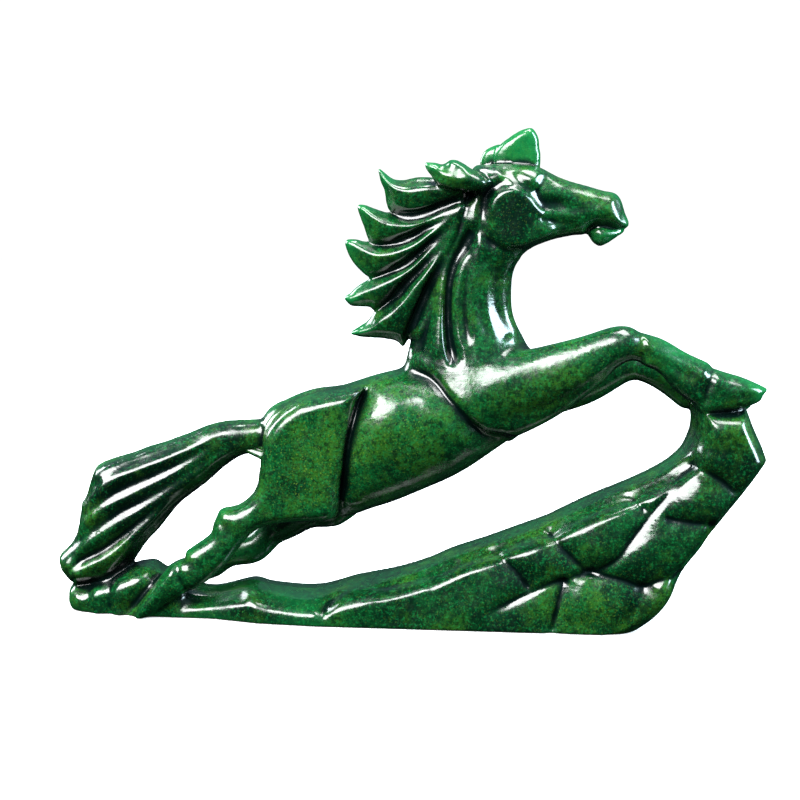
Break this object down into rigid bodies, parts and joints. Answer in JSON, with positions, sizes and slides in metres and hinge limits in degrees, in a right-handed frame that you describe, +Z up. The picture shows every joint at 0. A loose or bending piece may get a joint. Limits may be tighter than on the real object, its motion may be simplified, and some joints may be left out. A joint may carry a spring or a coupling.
{
  "type": "carved jade horse figurine",
  "caption": "Carved jade horse leaping off a rising rock base, with flying mane and tail, one solid stone ornament that stands on its flat underside.",
  "frame": {"origin": "on the flat underside, below the horse's withers", "axes": "+X the way the horse faces, +Y towards the horse's left (far) side, +Z up"},
  "size_m": [0.2494, 0.043, 0.1734],
  "materials": {
    "jade": "high polish, dark green, mottled, translucent at thin edges"
  },
  "bodies": {
    "root": {"rock_foot": "jade", "rock_ground": "jade", "rock_ramp": "jade", "trunk": "jade", "near_haunch": "jade", "far_haunch": "jade", "near_thigh": "jade", "far_thigh": "jade", "near_shank": "jade", "far_shank": "jade", "near_hind_hoof": "jade", "far_hind_hoof": "jade", "near_forearm": "jade", "far_forearm": "jade", "near_cannon": "jade", "far_cannon": "jade", "near_fore_hoof": "jade", "far_fore_hoof": "jade", "neck": "jade", "head": "jade", "lower_lip": "jade", "near_ear": "jade", "far_ear": "jade", "mane_lock_1": "jade", "mane_lock_2": "jade", "mane_lock_3": "jade", "mane_lock_4": "jade", "mane_lock_5": "jade", "tail_strand_1": "jade", "tail_strand_2": "jade", "tail_strand_3": "jade", "tail_strand_4": "jade", "tail_strand_5": "jade"}
  },
  "joints": []
}
